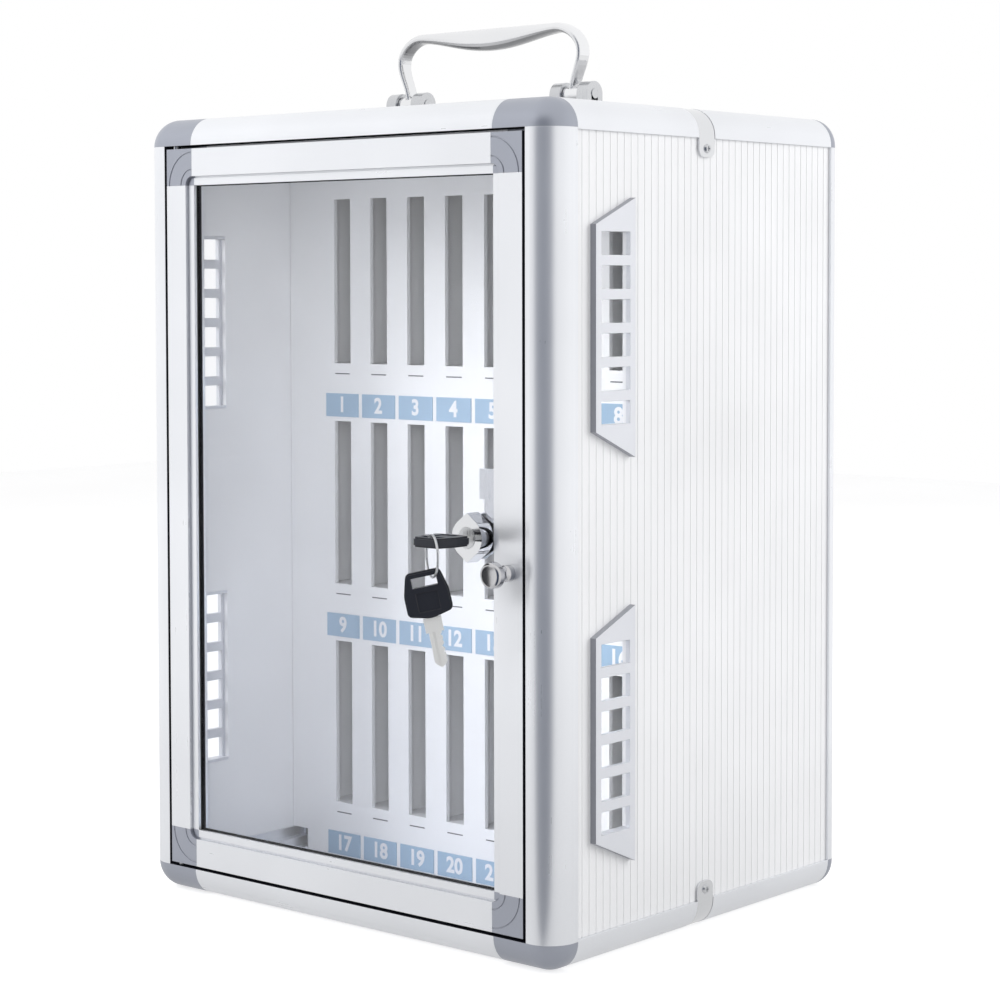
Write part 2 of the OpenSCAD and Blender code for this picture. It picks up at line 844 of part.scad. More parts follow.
// A rectangle set in from the door's edges, drawn in the plane of the door
module door_plate(inset) {
    translate([-door_w / 2 + inset, door_z + inset]) square([door_w - 2 * inset, door_h - 2 * inset]);
}

module door_glass() {
    color(glass_tint) translate([0, -case_d / 2 + glass_front, 0]) along_y() linear_extrude(glass_t)
        difference() {
            door_plate(door_face - glass_grip);
            translate([lock_x, lock_z]) circle(barrel_r + 2 * slack);
        }
}

// Gasket folded round the edge of the glass
module glazing_gasket() {
    edge = door_face - glass_grip;
    show = door_face + gasket_show;
    color(black) translate([0, -case_d / 2 + glass_front - gasket_t, 0]) along_y() difference() {
        linear_extrude(glass_t + 2 * gasket_t) door_plate(edge - gasket_t);
        translate([0, 0, gasket_t]) linear_extrude(glass_t) door_plate(edge);
        translate([0, 0, -over]) linear_extrude(glass_t + 2 * over + 2 * gasket_t) door_plate(show);
    }
}

module pivot_pins() {
    color(chrome) at_door() for (z = [-pivot_deep - door_gap + gap, door_h - pivot_deep + gap])
        translate([pivot_in, pivot_back, z])
            cylinder(r = pivot_r, h = 2 * pivot_deep + door_gap - 2 * gap);
}

// Lock and knob

// Round head drawn out into a point above and below
module lock_outline() {
    lean = acos(lock_r / lock_point);
    circle(lock_r);
    for (s = [-1, 1]) polygon([
        [0, s * lock_point], [lock_r * sin(lean), s * lock_r * cos(lean)],
        [0, 0], [-lock_r * sin(lean), s * lock_r * cos(lean)]
    ]);
}

module lock_body() {
    color(chrome) at_front(lock_x, lock_z) difference() {
        union() {
            translate([0, 0, lock_front]) linear_extrude(lock_head) lock_outline();
            translate([0, 0, glass_front - over]) cylinder(r = barrel_r, h = barrel_end - glass_front + over);
        }
        translate([0, 0, lock_front - over])
            cylinder(r = plug_r + turn_gap, h = barrel_end - lock_front + 2 * over);
    }
}

module lock_nut() {
    color(chrome) at_front(lock_x, lock_z) translate([0, 0, glass_front + glass_t]) difference() {
        rotate([0, 0, 30]) cylinder(r = nut_flat / 2 / cos(30), h = nut_t, $fn = 6);
        translate([0, 0, -over]) cylinder(r = barrel_r + turn_gap, h = nut_t + 2 * over);
    }
}

// Plug that the key turns, with a keyway and a square tail for the cam
module lock_plug() {
    color(chrome) at_front(lock_x, lock_z) difference() {
        union() {
            translate([0, 0, plug_front]) cylinder(r = plug_r, h = cam_back - plug_front);
            translate([-tail / 2, -tail / 2, cam_back - over]) cube([tail, tail, cam_t + over]);
        }
        translate([-blade_w / 2 - fit_gap, -blade_t / 2 - fit_gap, plug_front - over])
            cube([blade_w + 2 * fit_gap, blade_t + 2 * fit_gap, blade_len + gap + over]);
        translate([0, 0, cam_back - over])
            cylinder(r = screw_r + turn_gap, h = cam_t + 2 * over);
    }
}

// Cam on the plug's tail, bent forwards so that its end turns in behind the door's stop
module lock_cam() {
    color(chrome) at_front(lock_x, lock_z) difference() {
        union() {
            translate([0, 0, cam_back]) cylinder(r = cam_w / 2, h = cam_t);
            translate([-cam_w / 2, 0, cam_back]) cube([cam_w, cam_bend, cam_t]);
            translate([-cam_w / 2, cam_bend - cam_t, cam_tip])
                cube([cam_w, cam_t, cam_back + cam_t - cam_tip]);
            translate([-cam_w / 2, cam_bend - cam_t, cam_tip])
                cube([cam_w, cam_len - cam_bend + cam_t, cam_t]);
        }
        translate([-tail / 2 - slack, -tail / 2 - slack, cam_back - over])
            cube([tail + 2 * slack, tail + 2 * slack, cam_t + 2 * over]);
    }
}

module cam_screw() {
    color(chrome) at_front(lock_x, lock_z) translate([0, 0, cam_back + cam_t]) mirror([0, 0, 1])
        screw(cam_head_r, cam_head_t, screw_r, cam_screw_len);
}

// Turned knob with a waist, drawn as a profile about its axis
module door_knob() {
    color(chrome) at_front(knob_x, knob_z) difference() {
        translate([0, 0, -knob_out]) rotate_extrude() difference() {
            union() {
                square([knob_r - knob_round, knob_out]);
                translate([0, knob_round]) square([knob_r, knob_rim]);
                translate([knob_r - knob_round, knob_round]) circle(knob_round);
            }
            translate([knob_r + waist_out, waist_z]) circle(waist_r);
            translate([knob_neck, waist_z]) square([knob_r, knob_out]);
            translate([-knob_r, -over]) square([knob_r, knob_out + 2 * over]);
        }
        translate([0, 0, -knob_out / 2]) cylinder(r = screw_r + turn_gap, h = knob_out);
    }
}

module knob_screw() {
    color(chrome) at_front(knob_x, knob_z) translate([0, 0, door_t]) mirror([0, 0, 1])
        screw(knob_head_r, screw_head_t, screw_r, door_t + knob_out / 2 - over);
}

// Keys

// Outline of a key's bow, from its blade's side at the origin along y
module bow_outline(inset) {
    difference() {
        offset(r = -inset) hull() {
            for (s = [-1, 1]) {
                translate([s * (bow_w / 2 - bow_round), bow_round + bow_shoulder])
                    circle(bow_round, $fn = 32);
                translate([s * (bow_end_w / 2 - bow_round), bow_len - bow_round])
                    circle(bow_round, $fn = 32);
            }
            translate([0, bow_w / 2]) circle(bow_w / 2, $fn = 32);
        }
        translate([-bow_hole_w / 2, bow_len - bow_strip - bow_hole_h]) square([bow_hole_w, bow_hole_h]);
    }
}

module bow_plate() {
    dish = [bow_hole_w - 2 * dish_rim, bow_len - bow_strip - bow_hole_h - bow_round - 4 * dish_rim];
    color(black) difference() {
        union() {
            translate([0, 0, bow_step - bow_t / 2]) linear_extrude(bow_t - 2 * bow_step) bow_outline(0);
            translate([0, 0, -bow_t / 2]) linear_extrude(bow_t) bow_outline(bow_inset);
        }
        for (side = [-1, 1]) translate([-dish[0] / 2, bow_round + dish_rim, side * bow_t / 2 - bow_dish])
            cube([dish[0], dish[1], 2 * bow_dish]);
        translate([-blade_w / 2 - slack, -over, -blade_t / 2 - slack])
            cube([blade_w + 2 * slack, tang_len() + slack + over, blade_t + 2 * slack]);
    }
}

function tang_len() = bow_len / 3;

// Blade of a key, with a neck under the bow, cuts along one side and a tang inside the bow
module blade_plate() {
    tip = neck_len + blade_len;
    color(chrome) difference() {
        translate([0, 0, -blade_t / 2]) linear_extrude(blade_t) difference() {
            union() {
                translate([-neck_w / 2, -neck_len]) square([neck_w, neck_len]);
                polygon([
                    [-blade_w / 2, tang_len()], [-blade_w / 2, point_len - tip], [-point_w / 2, -tip],
                    [point_w / 2, -tip], [blade_w / 2, point_len - tip], [blade_w / 2, tang_len()]
                ]);
            }
            for (i = [0:cut_n - 1]) translate([blade_w / 2, -tip + cut_first + i * cut_pitch])
                rotate([0, 0, 45]) square(cut_size + cut_step * (i % cut_kinds), center = true);
        }
        for (side = [-1, 1]) translate([-groove_w, -tip - over, side * blade_t / 2 - groove_d])
            cube([groove_w, blade_len + over, 2 * groove_d]);
    }
}

// The key in the lock: its bow lies flat and points out of the door
module at_key() {
    translate([lock_x, -case_d / 2 + key_front, lock_z]) rotate([0, 0, 180]) children();
}

module key_bow() { at_key() bow_plate(); }
module key_blade() { at_key() blade_plate(); }

// Places on the ring, from the middle of the strip that it hangs on
ring_mid = ring_r + ring_wire / 2;
ring_x = lock_x + ring_side;
ring_y = -case_d / 2 + key_front - bow_len + bow_strip / 2;
ring_z = lock_z + bow_t / 2 + ring_lift - ring_mid + ring_wire / 2;

module key_ring() {
    color(chrome) translate([ring_x, ring_y, ring_z]) rotate([0, 0, ring_turn]) rotate([90, 0, 0])
        rotate_extrude() translate([ring_mid, 0]) circle(ring_wire / 2, $fn = 24);
}

// The loose key hangs on the ring by the end of its slot, so it leans
// Height that the ring's inner edge rises within the thickness of the bow
ring_rise = ring_r - sqrt(pow(ring_r, 2) - pow(bow_t / 2 + ring_wire / 2, 2));
module at_spare() {
    translate([ring_x, ring_y, ring_z - ring_r + ring_rise + gap])
        rotate([0, 0, spare_turn]) rotate([0, -spare_roll, 0])
            translate([-spare_hook, 0, -bow_len + bow_strip]) rotate([90, 0, 0]) children();
}

module spare_key_bow() { at_spare() bow_plate(); }
module spare_key_blade() { at_spare() blade_plate(); }

// Handle

// Screws of a bracket, in the bracket's plane
module bracket_holes() {
    for (side = [-1, 1], x = [bracket_in + screw_edge, bracket_out - screw_edge], y = [-1, 1])
        translate([side * x, y * (bracket_w / 2 - screw_edge), 0]) children();
}

// Bracket with two ears, each slotted under its pivot
module handle_bracket(side) {
    base_z = case_h - panel_out;
    ear_h = handle_pivot + panel_out;
    color(chrome) translate([0, 0, base_z]) mirror([side < 0 ? 1 : 0, 0, 0]) difference() {
        union() {
            translate([bracket_in, -bracket_w / 2, 0])
                cube([bracket_out - bracket_in, bracket_w, bracket_t]);
            for (x = [ear_in, ear_out - ear_len]) translate([x, 0, 0]) along_x()
                linear_extrude(ear_len) {
                    translate([0, -ear_w / 2]) square([ear_h, ear_w]);
                    translate([ear_h, 0]) circle(ear_top);
                }
        }
        translate([ear_in - over, 0, ear_h]) along_x() {
            cylinder(r = handle_pin_r + turn_gap, h = ear_out - ear_in + 2 * over);
            translate([-ear_slot, -handle_pin_r - turn_gap, 0])
                cube([ear_slot, 2 * (handle_pin_r + turn_gap), ear_out - ear_in + 2 * over]);
        }
        translate([0, 0, -base_z]) bracket_holes() translate([0, 0, base_z - over])
            cylinder(r = screw_r + turn_gap, h = bracket_t + 2 * over);
    }
}

module bracket_screws() {
    color(chrome) bracket_holes() translate([0, 0, case_h - panel_out + bracket_t])
        mirror([0, 0, 1]) screw(screw_head_r, screw_head_t, screw_r, bracket_t + panel_t - slack);
}

// Half of the handle's middle line, in the x-z plane above the case
function bezier(a, b, c, d, t) =
    pow(1 - t, 3) * a + 3 * t * pow(1 - t, 2) * b + 3 * t * t * (1 - t) * c + pow(t, 3) * d;
function grip_wave(x) = cos(90 * min(1, abs(x) / grip_half));
function grip_t(x) = grip_end_t + (grip_mid_t - grip_end_t) * pow(grip_wave(x), swell);
swell = 1.5;
bend_w = 13;
grip_half = foot_x - bend_w;
grip_line = grip_top - grip_end_t / 2;
leg_steps = 10;
bend_steps = 10;
grip_steps = 12;
side_steps = 20;
squareness = 2.6;
foot_share = 0.72;
leg_foot = [foot_x - 1, handle_pivot];
leg_top = [foot_x + 5, grip_line - 12];
bend_end = [grip_half, grip_line];
foot_pull = [-0.5, 12];
leg_pull = [2.5, -10];
bend_pull = [-1.8, 6.5];
grip_pull = [8, 0];
half_line = concat(
    [for (i = [0:leg_steps - 1])
        bezier(leg_foot, leg_foot + foot_pull, leg_top + leg_pull, leg_top, i / leg_steps)],
    [for (i = [0:bend_steps - 1])
        bezier(leg_top, leg_top + bend_pull, bend_end + grip_pull, bend_end, i / bend_steps)],
    [for (i = [0:grip_steps]) let (x = grip_half * (1 - i / grip_steps)) [x, grip_top - grip_t(x) / 2]]
);
half_n = len(half_line);
function mirrored(p) = [-p[0], p[1]];
handle_line = concat(half_line, [for (i = [half_n - 2:-1:0]) mirrored(half_line[i])]);
line_n = len(handle_line);

// Thickness and width of the handle at a step along its middle line
function leg_share(i) = min(1, min(i, line_n - 1 - i) / (leg_steps + bend_steps));
function thick(i) = let (x = handle_line[i][0], s = leg_share(i))
    s < 1 ? strip_t + (grip_end_t - strip_t) * s * s : grip_t(x);
function wide(i) = let (s = leg_share(i), x = handle_line[i][0])
    s < 1 ? strip_w * (foot_share + (1 - foot_share) * s)
        : strip_w + (grip_w - strip_w) * pow(grip_wave(x), 2);

// One ring of points round the middle line
function unit(v) = v / norm(v);
function heading(i) = unit(handle_line[min(i + 1, line_n - 1)] - handle_line[max(i - 1, 0)]);
function power(v) = sign(v) * pow(abs(v), 2 / squareness);
function ring_points(i) = let (h = heading(i), normal = [-h[1], h[0]], c = handle_line[i])
    [for (k = [0:side_steps - 1]) let (a = 360 * k / side_steps,
        out = power(cos(a)) * thick(i) / 2, across = power(sin(a)) * wide(i) / 2)
        [c[0] + normal[0] * out, across, c[1] + normal[1] * out + case_h]];

module handle_bar() {
    points = [for (i = [0:line_n - 1]) each ring_points(i)];
    last = (line_n - 1) * side_steps;
    polyhedron(points, concat(
        [[for (k = [side_steps - 1:-1:0]) k]],
        [[for (k = [0:side_steps - 1]) last + k]],
        [for (i = [0:line_n - 2], k = [0:side_steps - 1], half = [0, 1])
            let (a = i * side_steps + k, b = i * side_steps + (k + 1) % side_steps,
                c = b + side_steps, d = a + side_steps)
            half == 0 ? [a, b, c] : [a, c, d]]
    ));
}

module handle() {
    barrel_in = ear_in + ear_len + barrel_gap;
    barrel_len = ear_out - ear_in - 2 * (ear_len + barrel_gap);
    color(chrome) difference() {
        union() {
            handle_bar();
            for (side = [-1, 1]) mirror([side < 0 ? 1 : 0, 0, 0]) translate([barrel_in, 0, pivot_z])
                along_x() cylinder(r = handle_barrel_r, h = barrel_len);
        }
        for (side = [-1, 1]) mirror([side < 0 ? 1 : 0, 0, 0]) translate([barrel_in - over, 0, pivot_z])
            along_x() cylinder(r = handle_pin_r + turn_gap, h = barrel_len + 2 * over);
    }
}

module handle_pins() {
    color(chrome) for (side = [-1, 1]) mirror([side < 0 ? 1 : 0, 0, 0])
        translate([ear_in - pin_proud, 0, pivot_z]) along_x()
            cylinder(r = handle_pin_r, h = ear_out - ear_in + 2 * pin_proud);
}

front_upright(-1);  // front_upright_left
front_upright(1);  // front_upright_right
front_rail(true);  // front_rail_top
front_rail(false);  // front_rail_bottom
rear_upright(-1);  // rear_upright_left
rear_upright(1);  // rear_upright_right
rear_rail(true);  // rear_rail_top
rear_rail(false);  // rear_rail_bottom
side_rails(-1);  // side_rails_left
side_rails(1);  // side_rails_right
front_corners(-1);  // front_corners_left
front_corners(1);  // front_corners_right
rear_corners();
rail_joiners();
joint_clips();
clip_screws();
side_panel(-1);  // side_panel_left
side_panel(1);  // side_panel_right
top_panel();
bottom_panel();
back_panel();
vents(-1);  // vents_left
vents(1);  // vents_right
slot_panel();
shelf(rows - 1);  // shelf_top
shelf(rows - 2);  // shelf_middle
shelf(0);  // shelf_bottom
dividers();
number_labels();
handle_bracket(-1);  // handle_bracket_left
handle_bracket(1);  // handle_bracket_right
bracket_screws();
door_stile(false);  // door_stile_left
door_stile(true);  // door_stile_right
door_rail(true);  // door_rail_top
door_rail(false);  // door_rail_bottom
door_corners(false);  // door_corners_left
door_corners(true);  // door_corners_right
door_glass();
glazing_gasket();
pivot_pins();
lock_body();
lock_nut();
door_knob();
knob_screw();
lock_plug();
lock_cam();
cam_screw();
key_bow();
key_blade();
key_ring();
spare_key_bow();
spare_key_blade();
handle();
handle_pins();
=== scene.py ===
"""Looks of a cell phone locker box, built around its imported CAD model.

The CAD nodes keep their shapes and get detailed materials here. Two pieces are added to the slotted
panel: its printed numbers and its write-in lines. Lengths are in metres, in the CAD's frame.
"""
import math

import bpy
from mathutils import Matrix, Vector


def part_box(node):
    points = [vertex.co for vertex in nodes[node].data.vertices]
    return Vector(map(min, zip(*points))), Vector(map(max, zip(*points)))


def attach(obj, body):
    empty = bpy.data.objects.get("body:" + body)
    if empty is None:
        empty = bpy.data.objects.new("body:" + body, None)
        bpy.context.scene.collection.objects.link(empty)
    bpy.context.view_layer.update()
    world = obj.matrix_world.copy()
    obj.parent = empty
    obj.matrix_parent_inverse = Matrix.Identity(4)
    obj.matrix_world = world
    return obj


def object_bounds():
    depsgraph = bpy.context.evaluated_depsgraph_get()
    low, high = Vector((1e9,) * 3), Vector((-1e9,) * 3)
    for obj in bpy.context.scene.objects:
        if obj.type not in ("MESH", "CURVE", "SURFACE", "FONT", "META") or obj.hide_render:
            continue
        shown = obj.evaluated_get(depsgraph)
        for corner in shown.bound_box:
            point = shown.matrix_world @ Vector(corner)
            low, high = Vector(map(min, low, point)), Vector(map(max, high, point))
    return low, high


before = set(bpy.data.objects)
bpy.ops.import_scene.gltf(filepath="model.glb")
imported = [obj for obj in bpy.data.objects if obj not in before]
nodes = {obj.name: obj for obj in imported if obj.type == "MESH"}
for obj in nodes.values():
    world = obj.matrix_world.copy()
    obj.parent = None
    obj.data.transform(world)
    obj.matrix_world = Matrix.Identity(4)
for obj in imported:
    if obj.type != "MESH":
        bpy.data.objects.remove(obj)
cad_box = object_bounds()
MM = 0.001
WHITE = (1.0, 1.0, 1.0)


# Node helpers

BEVEL_SAMPLES = 4
# Cosine between a rounded normal and the true one, on flat ground and on a sharp edge
FLAT, SHARP = 0.99, 0.86
# The middle of a noise's range, where most of it lies
NOISE_LOW, NOISE_HIGH = 0.3, 0.7
# Sockets of a Mix node that mixes colours
MIX_SHARE, MIX_A, MIX_B, MIX_RESULT = 0, 6, 7, 2


class Graph:
    """Adds nodes to one emptied node tree in short lines."""

    def __init__(self, tree, output):
        self.tree = tree
        tree.nodes.clear()
        self.output = self.node(output)

    def node(self, kind, operation=None, **inputs):
        """A new node, with a value or a link for each input named."""
        n = self.tree.nodes.new(kind)
        if operation:
            n.operation = operation
        for name, value in inputs.items():
            self.feed(n.inputs[name.replace("_", " ")], value)
        return n

    def link(self, source, target):
        self.tree.links.new(source, target)

    def feed(self, socket, value):
        """Puts a number, a tuple or another node's output into a socket."""
        if isinstance(value, bpy.types.NodeSocket):
            self.link(value, socket)
        elif socket.type == "RGBA":
            socket.default_value = (*value, 1)
        else:
            socket.default_value = value

    def show(self, shader):
        """Makes this shader the one that is seen."""
        self.link(shader.outputs[0], self.output.inputs["Surface"])

    def math(self, operation, a, b, clamp=False):
        n = self.node("ShaderNodeMath", operation=operation)
        n.use_clamp = clamp
        self.feed(n.inputs[0], a)
        self.feed(n.inputs[1], b)
        return n.outputs[0]

    def vector(self, operation, a, b=None, result="Vector"):
        """Vector maths, whose result is a Vector or a Value."""
        n = self.node("ShaderNodeVectorMath", operation=operation)
        self.feed(n.inputs[0], a)
        if b is not None:
            self.feed(n.inputs[1], b)
        return n.outputs[result]

    def height(self, vector):
        """The Z part of a vector."""
        n = self.node("ShaderNodeSeparateXYZ")
        self.feed(n.inputs[0], vector)
        return n.outputs["Z"]

    def ramp(self, value, stops):
        """A grey ramp through (position, brightness) pairs."""
        n = self.node("ShaderNodeValToRGB", Fac=value)
        elements = n.color_ramp.elements
        while len(elements) < len(stops):
            elements.new(0.5)
        for element, (position, grey) in zip(elements, stops):
            element.position = position
            element.color = (grey, grey, grey, 1)
        return n.outputs["Color"]

    def spread(self, value, low, high, to_low, to_high):
        """Maps low..high to to_low..to_high, and keeps within it."""
        n = self.node("ShaderNodeMapRange", From_Min=low, From_Max=high, To_Min=to_low, To_Max=to_high)
        self.feed(n.inputs["Value"], value)
        return n.outputs["Result"]

    def mix(self, share, a, b):
        """Colour a with share of colour b."""
        n = self.tree.nodes.new("ShaderNodeMix")
        n.data_type = "RGBA"
        self.feed(n.inputs[MIX_SHARE], share)
        self.feed(n.inputs[MIX_A], a)
        self.feed(n.inputs[MIX_B], b)
        return n.outputs[MIX_RESULT]

    def mix_shader(self, share, a, b):
        """Shader a with share of shader b."""
        n = self.node("ShaderNodeMixShader")
        self.feed(n.inputs[0], share)
        self.link(a.outputs[0], n.inputs[1])
        self.link(b.outputs[0], n.inputs[2])
        return n

    def place(self, stretch=(1, 1, 1)):
        """Object coordinates, in metres, times stretch."""
        return self.vector("MULTIPLY", self.node("ShaderNodeTexCoord").outputs["Object"], stretch)

    def noise(self, scale, detail, stretch=(1, 1, 1)):
        n = self.node("ShaderNodeTexNoise", Scale=scale, Detail=detail)
        self.feed(n.inputs["Vector"], self.place(stretch))
        return n.outputs["Fac"]

    def patches(self, noise, most=1.0):
        """A noise as soft patches, from 0 to most."""
        return self.spread(noise, NOISE_LOW, NOISE_HIGH, 0.0, most)

    def soft_edge(self, radius):
        """A normal that rounds sharp edges off."""
        n = self.node("ShaderNodeBevel", Radius=radius)
        n.samples = BEVEL_SAMPLES
        return n.outputs[0]

    def edges(self, width):
        """1 on sharp edges and 0 on flat ground, from how far a rounded normal leans off the true one."""
        true = self.node("ShaderNodeNewGeometry").outputs["True Normal"]
        lean = self.vector("DOT_PRODUCT", self.soft_edge(width), true, "Value")
        return self.spread(lean, FLAT, SHARP, 0.0, 1.0)

    def bump(self, height, strength, distance, normal=None):
        n = self.node("ShaderNodeBump", Strength=strength, Distance=distance, Height=height)
        if normal is not None:
            self.feed(n.inputs["Normal"], normal)
        return n.outputs["Normal"]

    def seen(self, rays):
        """1 for a ray from the camera, straight or through glass, from a Light Path node."""
        return self.math("MAXIMUM", rays.outputs["Is Camera Ray"], rays.outputs["Is Transmission Ray"])


def new_material(name):
    """A material that shows one principled shader, with its graph and that shader."""
    material = bpy.data.materials.new(name)
    material.use_nodes = True
    g = Graph(material.node_tree, "ShaderNodeOutputMaterial")
    shader = g.node("ShaderNodeBsdfPrincipled")
    g.show(shader)
    return material, g, shader


# Camera

CAMERA_AT = (1.0081, -1.1663, 0.3780)
CAMERA_AZIMUTH = math.radians(40.645)
CAMERA_PITCH = math.radians(2.679)
CAMERA_ROLL = math.radians(-0.097)
CAMERA_SHIFT = -0.10
LENS_MM, SENSOR_MM = 89.08, 36
CLIP_START, CLIP_END = 0.05, 60


def add_camera():
    """The photograph's view: a long lens from above the middle of the box, shifted down."""
    data = bpy.data.cameras.new("camera")
    data.lens = LENS_MM
    data.sensor_width = SENSOR_MM
    data.shift_y = CAMERA_SHIFT
    data.clip_start = CLIP_START
    data.clip_end = CLIP_END
    camera = bpy.data.objects.new("camera", data)
    bpy.context.scene.collection.objects.link(camera)
    a, p = CAMERA_AZIMUTH, CAMERA_PITCH
    ahead = Vector((-math.sin(a) * math.cos(p), math.cos(a) * math.cos(p), -math.sin(p)))
    right = Vector((math.cos(a), math.sin(a), 0))
    up = right.cross(ahead)
    turn = Matrix((right, up, -ahead)).transposed().to_4x4()
    camera.matrix_world = Matrix.Translation(CAMERA_AT) @ turn @ Matrix.Rotation(CAMERA_ROLL, 4, "Z")
    bpy.context.scene.camera = camera


# Lamps

LAMPS_FACE = Vector((0, 0, 0.25))
# Azimuth and elevation in degrees, distance, size and radiance
LAMPS = {
    "lamp_front": (-38, 30, 1.9, 1.3, 5.0),
    "lamp_side": (128, 20, 1.9, 1.5, 3.0),
    "lamp_rear": (225, 30, 2.2, 1.4, 0.8),
    "lamp_fill": (40, 10, 2.3, 1.2, 2.3),
}


def add_lamp(name, azimuth, elevation, distance, size, radiance):
    """A square softbox that faces the middle of the box. Neither the camera nor metal sees it."""
    data = bpy.data.lights.new(name, "AREA")
    data.shape = "SQUARE"
    data.size = size
    data.energy = radiance * math.pi * size * size
    lamp = bpy.data.objects.new(name, data)
    bpy.context.scene.collection.objects.link(lamp)
    a, e = math.radians(azimuth), math.radians(elevation)
    away = Vector((math.sin(a) * math.cos(e), -math.cos(a) * math.cos(e), math.sin(e)))
    lamp.location = LAMPS_FACE + away * distance
    lamp.rotation_mode = "QUATERNION"
    lamp.rotation_quaternion = (-away).to_track_quat("-Z", "Y")
    lamp.visible_glossy = False
    lamp.visible_camera = False


# What metal and glass mirror

DARK_SIDE = math.radians(18)
MIRRORED_DARK = (0.05, 0.07, 0.12)
# Cosine of the angle to the middle of the dark side, and how white the studio is there
MIRRORED_STOPS = [(0.0, 1.0), (0.69, 0.97), (0.91, 0.03), (1.0, 0.0)]


def mirrored_colour(g, direction):
    """White, with one dark side, as the dark end of a studio gives metal its depth."""
    to_dark = (math.sin(DARK_SIDE), -math.cos(DARK_SIDE), 0.0)
    facing = g.vector("DOT_PRODUCT", direction, to_dark, "Value")
    return g.mix(g.ramp(facing, MIRRORED_STOPS), MIRRORED_DARK, WHITE)


# Background

AMBIENT = 0.52


def add_world():
    """Even light, a white background, and a dark side in reflections.

    It isn't sampled as a lamp is, because a ray that is sampled so doesn't count as glossy.
    """
    world = bpy.data.worlds.new("studio")
    bpy.context.scene.world = world
    world.cycles.sampling_method = "NONE"
    world.use_nodes = True
    g = Graph(world.node_tree, "ShaderNodeOutputWorld")
    rays = g.node("ShaderNodeLightPath")
    direction = g.node("ShaderNodeTexCoord").outputs["Generated"]
    lit = g.node("ShaderNodeBackground", Color=WHITE, Strength=AMBIENT)
    white = g.node("ShaderNodeBackground", Color=WHITE, Strength=1.0)
    mirrored = g.node("ShaderNodeBackground", Color=mirrored_colour(g, direction), Strength=1.0)
    other_rays = g.mix_shader(rays.outputs["Is Glossy Ray"], lit, mirrored)
    g.show(g.mix_shader(g.seen(rays), other_rays, white))


# Floor

FLOOR_HALF = 3.0
FLOOR_DROP = 0.2 * MM
FLOOR_DULL, FLOOR_PALE = (0.50, 0.50, 0.505), (0.53, 0.53, 0.535)
FLOOR_GLOW = 0.66
MOTTLE_SCALE = 3.0
# In reflections the floor is a little darker close to the box, as a painted shadow
FLOOR_CLOSE, FLOOR_FAR = 0.2, 1.0
MIRRORED_SHADOW_CLOSE = 0.75
FRONT_RIGHT = (cad_box[1][0], cad_box[0][1], 0.0)


def floor_material():
    """Pale floor, which the camera sees near white, with the object's shadow kept.

    In reflections it takes the studio's colour, by the direction from the box's front right edge,
    with a painted shadow that darkens it close to the box.
    """
    material, g, p = new_material("floor")
    mottle = g.patches(g.noise(MOTTLE_SCALE, detail=3.0))
    g.feed(p.inputs["Base Color"], g.mix(mottle, FLOOR_DULL, FLOOR_PALE))
    p.inputs["Roughness"].default_value = 0.8
    p.inputs["Specular IOR Level"].default_value = 0.1
    rays = g.node("ShaderNodeLightPath")
    seen = g.seen(rays)
    g.feed(p.inputs["Emission Color"], WHITE)
    g.feed(p.inputs["Emission Strength"], g.math("MULTIPLY", seen, FLOOR_GLOW))
    material.cycles.emission_sampling = "NONE"
    outward = g.vector("NORMALIZE", g.vector("SUBTRACT", g.place(), FRONT_RIGHT))
    radius = g.vector("LENGTH", g.place(), result="Value")
    # Painted shadow: the floor's reflected glow is weaker close to the box
    strength = g.spread(radius, FLOOR_CLOSE, FLOOR_FAR, MIRRORED_SHADOW_CLOSE, 1.0)
    mirrored = g.node("ShaderNodeEmission", Color=mirrored_colour(g, outward), Strength=strength)
    reflected = g.math("SUBTRACT", rays.outputs["Is Glossy Ray"], seen, clamp=True)
    g.show(g.mix_shader(reflected, p, mirrored))
    return material


def add_floor():
    """A square floor, a hair below the foot of the box."""
    corners = [(x * FLOOR_HALF, y * FLOOR_HALF, 0) for x, y in ((-1, -1), (1, -1), (1, 1), (-1, 1))]
    mesh = bpy.data.meshes.new("floor")
    mesh.from_pydata(corners, [], [(0, 1, 2, 3)])
    floor = bpy.data.objects.new("floor", mesh)
    floor.location.z = -FLOOR_DROP
    bpy.context.scene.collection.objects.link(floor)
    mesh.materials.append(floor_material())


add_camera()
add_world()
add_floor()
for lamp_name, lamp_values in LAMPS.items():
    add_lamp(lamp_name, *lamp_values)


# Hard finishes

# Noise scales, in cycles a metre
DRIFT_SCALE, SPECK_SCALE, WEAR_SCALE, UNEVEN_SCALE = 9.0, 900.0, 160.0, 38.0
# How fast the grain changes along a drawn streak, against across it
STREAK = 0.006
# Drift darkens by this many times shade
DRIFT_DEPTH = 2.2
# The stretch of a noise over which specks come in, and the most of them
SPECK_LOW, SPECK_HIGH, MOST_SPECK = 0.35, 0.75, 0.35
# The stretch of a noise over which wear comes in, and the least of it along an edge
WEAR_LOW, WEAR_HIGH, LEAST_WEAR = 0.35, 0.62, 0.35
COAT_ROUGHNESS = 0.12
GRAIN_HEIGHT = 0.06 * MM
# The Z of a normal where the underside's painted shade is full, and where it ends
UNDERSIDE, UPRIGHT = -0.75, -0.1


def times(colour, factor):
    """A colour made darker by a factor."""
    return tuple(part * factor for part in colour)


def wear(g, width, share):
    """Worn stretches along sharp edges, as a mask of at most share."""
    broken = g.spread(g.noise(WEAR_SCALE, detail=4.0), WEAR_LOW, WEAR_HIGH, LEAST_WEAR, 1.0)
    return g.math("MULTIPLY", g.math("MULTIPLY", g.edges(width), broken), share)


